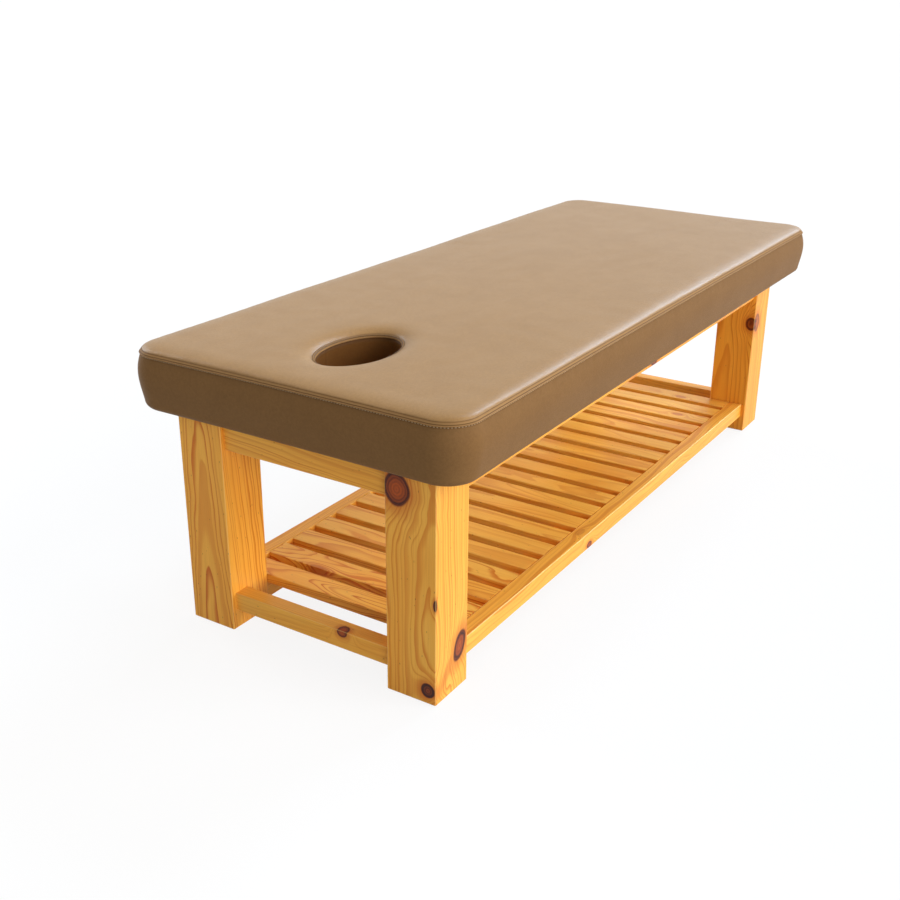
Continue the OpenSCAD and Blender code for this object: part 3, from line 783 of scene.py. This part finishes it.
def makeTop():
    look, rows, shades = topLook, [], []
    gathers = look["pucker"] * unevenWave(*look["gathers"])
    for part, d, p, z in topRows(look):
        # shade is painted shade: dark in the edge seam and at the hole's rim
        waves, shade = swellAt(p), 0
        if part == "shoulder":
            waves = (gathers * math.exp(-d / look["puckerReach"]) + waves) * min(1, d / look["seamFree"])
            shade = shadeAt(d, look["seamShade"])
        elif part == "dip":
            waves = waves * min(1, d / look["rimFree"])
            shade = shadeAt(d, look["rimShade"])
        rows.append(raised(p, z + waves))
        shades.append(shade)
    # The cover's back, with painted shade on its cut edge and its hidden side
    for index in [*range(len(rows) - 1, 0, -look["backStep"]), 0]:
        lower = rows[index].copy()
        lower[:, 2] -= pad["coverThickness"]
        if index == 0:
            lower[:, :2] -= out * pad["coverThickness"]
        rows.append(lower)
        shades.append(0.3 if index == 0 else 1.0)
    return skinPiece("padTop", rows, vinyl["topVinyl"], np.repeat(shades, len(place)))


padTop = makeTop()
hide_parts("cover_top")

# The side band
bandLook = {
    "weltHeight": 0.0052,  # the raised fold between the seam and its stitches
    "weltTop": 0.0020,  # how far the fold stands above the seam
    "weltOut": 0.0038,
    "weltFull": 0.82,  # the share of the way down at which the fold stands out fully
    "weltEnds": (0.86, 0.98),  # the shares between which it falls back to the wall
    "creaseAt": 0.55,  # the line between the top's folded edge and the band's, as a share of the way down
    "creaseHalf": 0.07,
    "creaseDepth": 0.0007,
    "grooveDepth": 0.0009,
    "grooveHalf": 0.0012,  # from the fold to the stitches, and on to the wall
    "stitch": (0.006, 0.0040, 0.00065),  # pitch, length and radius
    "stitchDrop": 0.0010,  # how far the stitches lie below the fold's groove
    "gathers": ((0.027, 0.041, 0.059), 23),  # their lengths and seed
    "weltGather": 0.0002,
    "wallGather": 0.0004,
    "gatherReach": 0.012,
    # Painted shade below the stitched groove: how dark, and how far it reaches
    "grooveShade": (0.35, 0.001),
    "onSide": 0.999,  # a station's outward direction is that of a side, not a corner's, from here on
    "weltRows": 19,
    "wallRows": 16,
    "rollRows": 9,
    "underRows": 6,
    "backRows": (48, 42, 38, 34, 27, 21, 18, 9, 0),  # the rows that the band's back repeats, on the way up
    "pleat": 0.0010,
    "pleatTurns": 14,
}
stitchZ = seamZ - bandLook["weltHeight"] - bandLook["grooveHalf"]


# The wall at a share f of its height is drawn in by seamDraw * (2f - 1)^2 in its upper half
# and rollDraw * (1 - 2f)^2 in its lower.
def drawnIn(f):
    return pad["seamDraw"] * max(0, 2 * f - 1) ** 2 + pad["rollDraw"] * max(0, 1 - 2 * f) ** 2


# It swells by wallBulge * sin(pi f^1.2), widest a little above the middle.
def wallInset(z):
    f = min(1, max(0, (z - wallLow) / (seamZ - wallLow)))
    return drawnIn(f) - pad["wallBulge"] * math.sin(math.pi * f ** 1.2)


# Where the cover turns under the board at a corner its spare width lies in pleats.
def makePleats():
    onSide = np.abs(out).max(axis=1) >= bandLook["onSide"]
    return np.where(onSide, 0, np.abs(np.sin(np.arctan2(out[:, 1], out[:, 0]) * bandLook["pleatTurns"])))


pleats = makePleats()


# From the top edge down: the fold that stands out by weltOut, the stitched groove, the wall, the rolled edge
# and the part turned under the board. The fold grows as (f / weltFull)^0.8, and its painted shade goes from
# the pale strip's -0.9 up to 0.9 in the seam, the crease and the stitched groove; the wall's top, the pleats
# and the back are painted darker too.
def makeBand():
    look, rows, shades = bandLook, [], []
    plain = np.zeros(len(place))
    top = seamZ + look["weltTop"]
    gathers = unevenWave(*look["gathers"])
    fallFrom, fallTo = look["weltEnds"]
    for f in np.linspace(0, 1, look["weltRows"]):
        z = top - (top - stitchZ) * f
        fall = min(1, max(0, f - fallFrom) / (fallTo - fallFrom))
        bulge = look["weltOut"] * min(1, f / look["weltFull"]) ** 0.8 * (1 - fall ** 2)
        crease = math.exp(-((f - look["creaseAt"]) / look["creaseHalf"]) ** 2)
        dent = look["grooveDepth"] * f ** 6 + look["creaseDepth"] * crease
        rows.append(raised(edgeAt(wallInset(z) - bulge + dent - look["weltGather"] * gathers), z))
        # Painted shade in the seam, along the crease and in the stitched groove
        seam = shadeAt(f, (1, look["creaseHalf"]))
        shades.append(plain - 0.9 + 1.8 * max(seam, f ** 10, 0.95 * crease))
    wallTop = stitchZ - look["grooveHalf"]
    for f in np.linspace(0, 1, look["wallRows"]):
        z = wallTop + (wallLow - wallTop) * f ** 1.4
        gather = look["wallGather"] * math.exp(-(wallTop - z) / look["gatherReach"])
        rows.append(raised(edgeAt(wallInset(z) - gather * gathers), z))
        shades.append(plain + shadeAt(wallTop - z, look["grooveShade"]))
    r = pad["rollRadius"]
    for a in np.linspace(0, math.pi / 2, look["rollRows"])[1:]:
        rows.append(raised(edgeAt(turnInset - r * math.cos(a)), wallLow - r * math.sin(a)))
        shades.append(plain)
    for f in np.linspace(0, 1, look["underRows"] + 1)[1:]:
        z = pad["bottom"] - look["pleat"] * pleats * min(1, 3 * f)
        rows.append(raised(edgeAt(turnInset + pad["margin"] * f), z))
        # Painted shade in the pleats under the board
        shades.append(0.5 * pleats)
    firstLevel = len(rows) - 1 - look["underRows"]
    for index in look["backRows"]:
        inner = rows[index].copy()
        if index >= firstLevel:
            inner[:, 2] = pad["bottom"] + pad["coverThickness"]
        else:
            inner[:, :2] -= out * pad["coverThickness"]
        rows.append(inner)
        shades.append(plain + 1)
    return skinPiece("padBand", rows, vinyl["shadedBandVinyl"], shades, turned=True)


padBand = makeBand()
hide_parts("cover_band")

# Stitches
beadRows, beadSides = 7, 6


# Threads laid end to end along a closed line, by their pitch, length and radius. Each is a bead with its
# ends sunk into the vinyl: at a share f of its half length its thickness is radius * (1 - f^6)^0.5
# and its lift is radius * (0.55 - 1.5 f^4).
def makeStitches(name, line, outward, size, material):
    pitch, length, radius = size
    s = np.concatenate(([0], np.cumsum(np.linalg.norm(np.roll(line, -1, 0) - line, axis=1))))
    count = round(s[-1] / pitch)
    middles = ((np.arange(count) + 0.5) * s[-1] / count)[:, None]
    closed, closedOut = np.vstack((line, line[:1])), np.vstack((outward, outward[:1]))

    def at(t, data):
        return np.stack([np.interp(t % s[-1], s, data[:, k]) for k in range(3)], -1)

    f = np.linspace(-1, 1, beadRows)
    centre = at(middles + f * length / 2, closed)  # count x beadRows x 3
    normal = at(middles + 0 * f, closedOut)
    normal /= np.linalg.norm(normal, axis=-1, keepdims=True)
    along = at(middles + f * length / 2 + 1e-4, closed) - centre
    along /= np.linalg.norm(along, axis=-1, keepdims=True)
    across = np.cross(normal, along)
    thick = radius * np.sqrt(np.clip(1 - f ** 6, 0.02, 1))[:, None]
    lift = radius * (0.55 - 1.5 * f ** 4)[:, None]
    a = np.arange(beadSides) * 2 * math.pi / beadSides
    points = (centre[:, :, None] + normal[:, :, None] * (lift + thick * np.sin(a))[None, :, :, None]
              + across[:, :, None] * (thick * np.cos(a))[None, :, :, None])
    r, k = np.arange(beadRows - 1)[:, None] * beadSides, np.arange(beadSides)[None, :]
    nextK, nextR = (k + 1) % beadSides, r + beadSides
    belt = np.stack((r + k, r + nextK, nextR + nextK, nextR + k), -1).reshape(-1, 4)
    starts = (np.arange(count) * beadRows * beadSides)[:, None, None]
    faces = (belt[None] + starts).reshape(-1, 4).tolist()
    caps = np.stack((np.arange(beadSides)[::-1], (beadRows - 1) * beadSides + np.arange(beadSides)))
    faces += (caps[None] + starts).reshape(-1, beadSides).tolist()
    return makePiece(name, points, faces, material)


def threadMaterial(name, pale, deep):
    material, coords = newMaterial(name)
    twist = noise(coords["Object"], 2600.0)
    colour = blendColour(twist, pale, deep)
    return closeMaterial(material, colour, 0.6, (twist, 0.4, 0.0002), Sheen_Weight=0.2)


paleThread = threadMaterial("paleThread", rgb(206, 178, 140), rgb(166, 134, 96))
darkThread = threadMaterial("darkThread", rgb(104, 72, 44), rgb(78, 52, 32))
edgeSeam = raised(edgeAt(wallInset(stitchZ)), stitchZ - bandLook["stitchDrop"])
makeStitches("edgeStitches", edgeSeam, raised(out, 0.0), bandLook["stitch"], paleThread)

# The face hole
liningLook = {
    "stations": 240,
    "rollRows": 10,
    "wallRows": 12,
    "lipDrop": 0.9,  # how deep the binding rolls, as a share of its width
    "sewnSeam": 100.0,  # degrees round the hole where the lining's ends are sewn together
    "seamWidth": 0.0022,
    "seamRelief": 0.0006,
    # Width of the painted shade along the sewn seam's crease
    "creaseWidth": 0.0007,
    "meanRadius": 0.085,
    "lipFlare": 0.0004,
    "stitch": (0.005, 0.0036, 0.00042),  # pitch, length and radius
    "stitchOut": (0.28, 0.96),  # the way they face: towards the hole's middle, and up
    "stitchRise": 0.0002,
    "stitchAt": 0.35,  # the stitches' place on the binding, as a share of its width from the hole
    "stitchGroove": 0.0009,  # half the width of the groove that they lie in
    "bulge": 0.0004,
    "groove": 0.0006,
    "hollow": 0.0012,
}
holeAngle = np.linspace(0, 2 * math.pi, liningLook["stations"] + 1)[:-1]


def rimAt(e):
    return holeAt(e, holeAngle)


rimZ = topAt(rimAt(pad["rimWidth"]), pad["rimDip"])
lip = rimZ - liningLook["lipDrop"] * pad["rimWidth"]


# The binding rolls from its seam over the hole's lip: a quarter turn of rimWidth across and lipDrop times
# that down. It ends in three rows that close it underneath.
def makeBinding():
    look, w, t, gap = liningLook, pad["rimWidth"], pad["coverThickness"], pad["gap"]
    rows, shades = [], []
    for f in np.linspace(0, 1, look["rollRows"]):
        a = f * math.pi / 2
        e = (w - gap) * (1 - math.sin(a))
        bulge = look["bulge"] * math.sin(2 * math.pi * min(0.5, f * 0.62)) * (1 - f)
        groove = math.exp(-((e - look["stitchAt"] * w) / look["stitchGroove"]) ** 2)
        z = rimZ - look["lipDrop"] * w * (1 - math.cos(a)) + bulge - look["groove"] * groove
        rows.append(raised(rimAt(e), z))
        # Painted shade in the binding's seam and in the groove of its stitches
        shades.append(0.9 * max(math.exp((e - w) / 0.0010), groove))
    # The rows that close it underneath are painted in full shade
    for e, z in ((t, lip - t / 2), (0.3 * w, rimZ - 0.35 * w - t), (w - gap, rimZ - t)):
        rows.append(raised(rimAt(e), z))
        shades.append(1.0)
    return skinPiece("rimBinding", rows, vinyl["bindingVinyl"],
                     np.repeat(shades, len(holeAngle)))


# The lining goes straight down through the foam and board and turns outwards under the board.
def makeLining():
    look, t, floor = liningLook, pad["coverThickness"], pad["bottom"]
    apart = (np.degrees(holeAngle) - look["sewnSeam"] + 180) % 360 - 180
    arc = np.radians(apart) * look["meanRadius"]
    sewn, crease = (np.exp(-(arc / look[key]) ** 2) for key in ("seamWidth", "creaseWidth"))
    plain = np.zeros(len(holeAngle))
    rows, shades = [], []
    for f in np.linspace(0, 1, look["wallRows"] + 1):
        hollow = (look["hollow"] - look["seamRelief"] * sewn) * math.sin(math.pi * f)
        rows.append(raised(rimAt(hollow + look["lipFlare"] * math.exp(-f / 0.02)), lip + (floor - lip) * f))
        # Painted shade along the sewn seam's crease and at the top of the lining, under the lip
        shades.append(0.8 * crease * (1 - f ** 8) + 0.8 * math.exp(-f / 0.01))
    for e in np.linspace(0, pad["liningMargin"], 5)[1:]:
        rows.append(raised(rimAt(e), floor))
        shades.append(plain)
    back = rimAt(t + look["hollow"])
    rows += [raised(rimAt(pad["liningMargin"]), floor + t), raised(back, floor + t),
             raised(back, lip + (floor - lip) * 0.5), raised(back, lip)]
    # The closing rows are painted in full shade
    shades += [plain + 1] * 4
    return skinPiece("faceLining", rows, vinyl["liningVinyl"], shades)


rimBinding = makeBinding()
faceLining = makeLining()
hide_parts("face_sleeve")

fromSeam = 1 - liningLook["stitchAt"]
stitchFall = liningLook["lipDrop"] * pad["rimWidth"] * (1 - math.sqrt(1 - fromSeam ** 2))
rimLine = raised(rimAt(liningLook["stitchAt"] * pad["rimWidth"]),
                 rimZ - stitchFall + liningLook["stitchRise"])
inward, upward = liningLook["stitchOut"]
rimUp = raised(inward * (rimAt(0) - rimAt(1)), upward)
makeStitches("rimStitches", rimLine, rimUp, liningLook["stitch"], darkThread)

# Staples along the turned-under edges of the band and the lining
staples = {
    "edgeStaples": (0.045, 0.011, 0.0006),  # pitch, length and radius
    "liningStaples": (0.032, 0.011, 0.0006),
    "place": 0.6,  # share of the turned-under width
}
edgeLine = raised(edgeAt(turnInset + staples["place"] * pad["margin"]),
                  pad["bottom"] - bandLook["pleat"] * pleats)
liningLine = raised(rimAt(staples["place"] * pad["liningMargin"]), pad["bottom"])
for stapleName, line in (("edgeStaples", edgeLine), ("liningStaples", liningLine)):
    down = np.tile((0.0, 0.0, -1.0), (len(line), 1))
    makeStitches(stapleName, line, down, staples[stapleName], zinc)
print("upholstery made")

# The foam
foamLook = {
    "every": 3,  # the foam takes every third station
    "rollRows": 7,
    "wallAt": (0.2, 0.4, 0.6, 0.8, 0.9),
    "holeClear": 0.001,
    "shoulderRows": 12,
    "middleRows": 8,
    "dipRows": 6,
    "dipPower": 1,
}


def foamMaterial():
    material, coords = newMaterial("foam")
    cells = voronoi(coords["Object"], 700.0)["Distance"]
    colour = blendColour(cells, rgb(196, 170, 92), rgb(232, 212, 140))
    return closeMaterial(material, colour, 0.95, (cells, 0.8, 0.0008))


# The foam lies 1.5 mm inside the cover's walls and 3 mm under its top, with the same shoulder, crown and dip,
# and wraps round the board's edge.
def makeFoam():
    t = pad["coverThickness"] + pad["gap"]
    boardZ = pad["boardTop"] + pad["gap"]
    q = pad["rollRadius"] - t
    rows = [raised(edgeAt(turnInset), boardZ)]
    rows += [raised(edgeAt(turnInset - q * math.cos(a)), wallLow - q * math.sin(a))
             for a in np.linspace(math.pi / 2, 0, foamLook["rollRows"])]
    rows += [raised(edgeAt(t + drawnIn(f)), wallLow + (seamZ - wallLow) * f) for f in foamLook["wallAt"]]
    for part, d, p, z in topRows(foamLook):
        inside = edgeAt(pad["seamDraw"] + max(d, 2 * t)) if part == "shoulder" else p
        rows.append(raised(inside, z - 2 * t))
    inner = holeAt(2 * t + foamLook["holeClear"])
    rimTop = topAt(holeAt(pad["rimWidth"]), pad["rimDip"])
    rows += [raised(inner, rimTop - 1.5 * pad["rimWidth"]), raised(inner, boardZ)]
    rows = [row[::foamLook["every"]] for row in rows]
    return skinPiece("foamPad", rows, foamMaterial())


foamPad = makeFoam()
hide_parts("foam_core")

# The underside cloth
sheetLook = {
    "lift": 0.0001,  # how far it lies above the cover's lowest face
    "thickness": 0.0008,
    "rows": 12,
    "backRows": 4,
    "every": 3,  # it takes every third station
}


def clothMaterial():
    material, coords = newMaterial("undersideCloth")
    web = noise(coords["Object"], 420.0, 6.0, 0.75)
    dots = voronoi(coords["Object"], 260.0, 0.1)["Distance"]
    height = minus(web, times(fade(dots, 0.15, 0.4), 0.8))
    colour = blendColour(web, rgb(150, 143, 132), rgb(178, 171, 160))
    return closeMaterial(material, colour, 0.9, (height, 0.5, 0.0004), Sheen_Weight=0.15)


# The cloth lies flat between the turned-under edges of the band and the lining.
def makeCloth():
    look = sheetLook
    a = edgeAt(turnInset + pad["margin"] + pad["gap"])[::look["every"]]
    b = holeAt(pad["liningMargin"] + pad["gap"])[::look["every"]]
    low = pad["bottom"] + look["lift"]
    rows = [raised(a + (b - a) * f, low) for f in np.linspace(0, 1, look["rows"])]
    rows += [raised(a + (b - a) * f, low + look["thickness"]) for f in np.linspace(1, 0, look["backRows"])]
    return skinPiece("dustSheet", rows, clothMaterial(), turned=True)


dustSheet = makeCloth()
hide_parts("dust_cloth")
print("underside closed")

# Floor and light
lightLevels = {
    "ambient": 0.27,
    "floorShadow": 0.13,  # how much of the floor's look is its lit surface
    "floorLit": 0.98,
    "floorBounce": 0.50,
    "floorHalf": 60,
}
suns = {
    "sideSun": {"from": (0.30, -1.0, 0.70), "strength": 1.2, "angle": 34},
    "lowSun": {"from": (0.62, -1.0, 0.26), "strength": 1.6, "angle": 44},
    "headSun": {"from": (-0.50, -1.0, 0.15), "strength": 1.5, "angle": 40},
    "farSun": {"from": (0.10, 1.0, 0.45), "strength": 1.7, "angle": 40},
    "backSun": {"from": (0.81, -0.05, 0.57), "strength": 2.2, "angle": 28, "colour": (0.62, 0.80, 1.0)},
}
white = (1, 1, 1, 1)


# 1 where the camera sees a surface straight, in a gloss or through glass, and 0 where it only lights others.
def seenDirectly():
    path = put("LightPath").outputs
    return largest(path["Is Camera Ray"], path["Is Glossy Ray"], path["Is Transmission Ray"])


def mixShaders(share, a, b):
    return put("MixShader", {0: share, 1: a.outputs[0], 2: b.outputs[0]})


def makeLights():
    world = bpy.data.worlds.new("studio")
    scene.world = world
    openTree(world)
    soft = put("Background", {"Color": white, "Strength": lightLevels["ambient"]})
    plain = put("Background", {"Color": white, "Strength": 1.0})
    put("OutputWorld", {"Surface": mixShaders(seenDirectly(), soft, plain).outputs[0]})
    for name, level in suns.items():
        lamp = bpy.data.lights.new(name, "SUN")
        lamp.energy = level["strength"]
        lamp.angle = math.radians(level["angle"])
        lamp.color = level.get("colour", (1, 1, 1))
        holder = bpy.data.objects.new(name, lamp)
        holder.rotation_euler = Vector(level["from"]).to_track_quat("Z", "Y").to_euler()
        scene.collection.objects.link(holder)


def makeFloor():
    material = bpy.data.materials.new("paleFloor")
    openTree(material)
    bounce, lit = (put("BsdfDiffuse", {"Color": (lightLevels[key],) * 3 + (1,)})
                   for key in ("floorBounce", "floorLit"))
    glow = put("Emission", {"Color": white, "Strength": 1.0})
    look = mixShaders(lightLevels["floorShadow"], glow, lit)
    put("OutputMaterial", {"Surface": mixShaders(seenDirectly(), bounce, look).outputs[0]})
    h = lightLevels["floorHalf"]
    floor = meshPiece("floor", [(-h, -h, 0), (h, -h, 0), (h, h, 0), (-h, h, 0)], [(0, 1, 2, 3)])
    dress(floor, material)


makeLights()
makeFloor()
print("floor and lights set")
